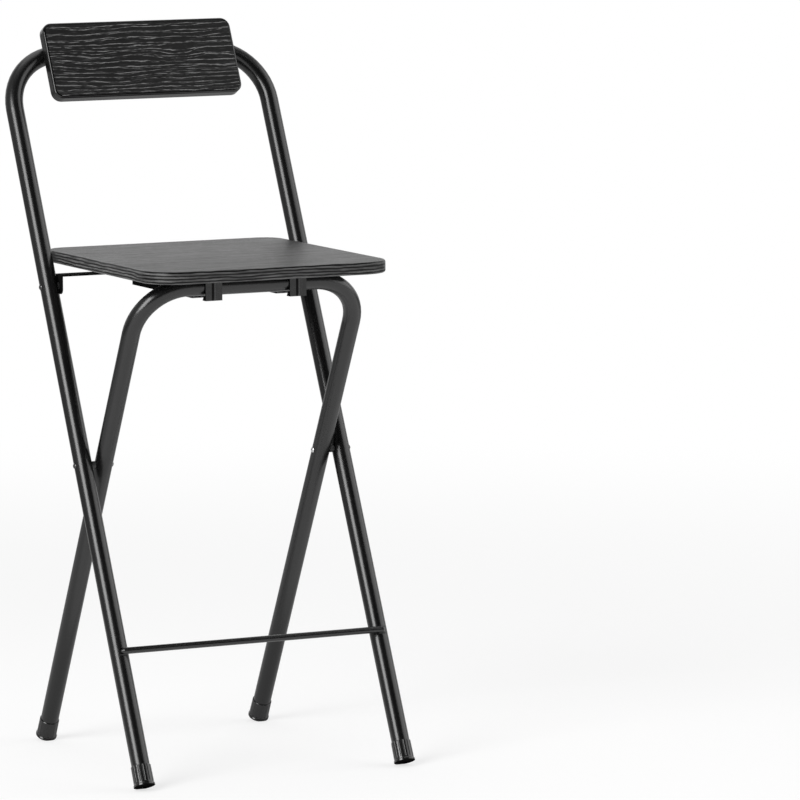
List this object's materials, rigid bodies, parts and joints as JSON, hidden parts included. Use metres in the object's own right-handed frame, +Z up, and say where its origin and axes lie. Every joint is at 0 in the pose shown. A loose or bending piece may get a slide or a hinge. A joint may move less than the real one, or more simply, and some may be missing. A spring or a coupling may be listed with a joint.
{
  "type": "folding bar stool",
  "caption": "Folding bar stool with a low backrest, a flat rounded seat, crossed bent-tube frames, a front footrest rod and ribbed foot caps.",
  "frame": {"origin": "on the floor, in the middle of the stool's outline seen from above", "axes": "+Z up, -Y towards the front where a person sits facing, +X to the right seen from the front"},
  "size_m": [0.368, 0.4336, 0.8836],
  "materials": {
    "powder_coat": "black powder coat, semi-gloss",
    "board_face": "black wood-grain laminate on board",
    "board_edge": "black streaked edge band",
    "foot_rubber": "moulded black rubber",
    "bright_steel": "zinc plated",
    "black_nylon": "moulded nylon"
  },
  "bodies": {
    "long_frame": {"long_frame_tube": "powder_coat", "footrest_rod": "powder_coat", "footrest_weld_left": "powder_coat", "footrest_weld_right": "powder_coat", "backrest_board": "board_face", "backrest_edge_band": "board_edge", "backrest_screws": "bright_steel", "front_foot_left": "foot_rubber", "front_foot_right": "foot_rubber", "pivot_rivet_left": "bright_steel", "pivot_rivet_right": "bright_steel", "pivot_spacer_left": "black_nylon", "pivot_spacer_right": "black_nylon", "hinge_rivet_left": "bright_steel", "hinge_rivet_right": "bright_steel", "hinge_washer_left": "black_nylon", "hinge_washer_right": "black_nylon"},
    "short_frame": {"short_frame_tube": "powder_coat", "rear_foot_left": "foot_rubber", "rear_foot_right": "foot_rubber"},
    "seat": {"seat_board": "board_face", "seat_edge_band": "board_edge", "hinge_cross_bar": "powder_coat", "guide_rail_left": "powder_coat", "guide_rail_right": "powder_coat", "guide_screws": "bright_steel"}
  },
  "joints": [
    {"name": "seat_fold", "type": "hinge", "parent": "long_frame", "child": "seat", "pos_m": [0, 0.07424, 0.57281], "axis": [-1, 0, 0], "range_deg": [0, 97.5]},
    {"name": "leg_fold", "type": "hinge", "parent": "long_frame", "child": "short_frame", "pos_m": [0, -0.02552, 0.36646], "axis": [-1, 0, 0], "range_deg": [0, 48.3]}
  ],
  "couplings": [
    {"joint": "leg_fold", "follows": "seat_fold", "ratio": 0.4953}
  ]
}
